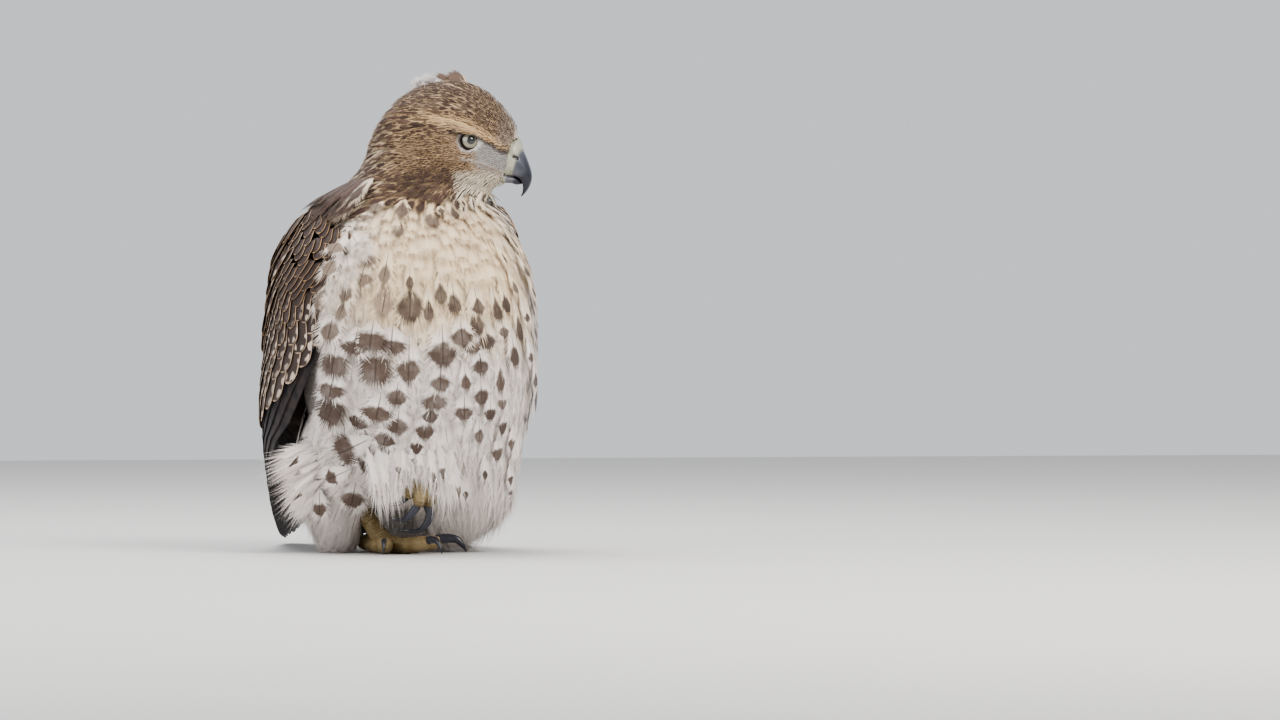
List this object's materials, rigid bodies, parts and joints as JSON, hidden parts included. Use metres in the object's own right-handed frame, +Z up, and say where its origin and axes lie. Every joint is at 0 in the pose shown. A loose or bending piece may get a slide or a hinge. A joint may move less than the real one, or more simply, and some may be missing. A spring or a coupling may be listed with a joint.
{
  "type": "red-tailed hawk",
  "caption": "Life-size still model of a young red-tailed hawk, standing on one foot with the other drawn up, head turned to its left, wings and tail laid back.",
  "frame": {"origin": "middle of the standing foot's sole, on the floor", "axes": "+X to the bird's left, -Y ahead of its breast, +Z up"},
  "size_m": [0.2149, 0.364, 0.3379],
  "materials": {
    "breast_feathers": "matte, soft body feathers",
    "head_feathers": "matte, short feathers",
    "wing_feathers": "satin vanes",
    "tail_feathers": "satin vanes",
    "foot_skin": "scaly, semi-matt",
    "horn": "polished horn",
    "eye": "clear and glossy"
  },
  "bodies": {
    "root": {"torso": "breast_feathers", "neck": "breast_feathers", "undertail": "breast_feathers", "leg_left": "breast_feathers", "leg_right": "breast_feathers", "head": "head_feathers", "wing_left": "wing_feathers", "wing_right": "wing_feathers", "tail": "tail_feathers", "foot_left": "foot_skin", "foot_right": "foot_skin", "bill_upper": "horn", "bill_lower": "horn", "claw_left_1": "horn", "claw_left_2": "horn", "claw_left_3": "horn", "claw_left_4": "horn", "claw_right_1": "horn", "claw_right_2": "horn", "claw_right_3": "horn", "claw_right_4": "horn", "eye_left": "eye", "eye_right": "eye"}
  },
  "joints": []
}
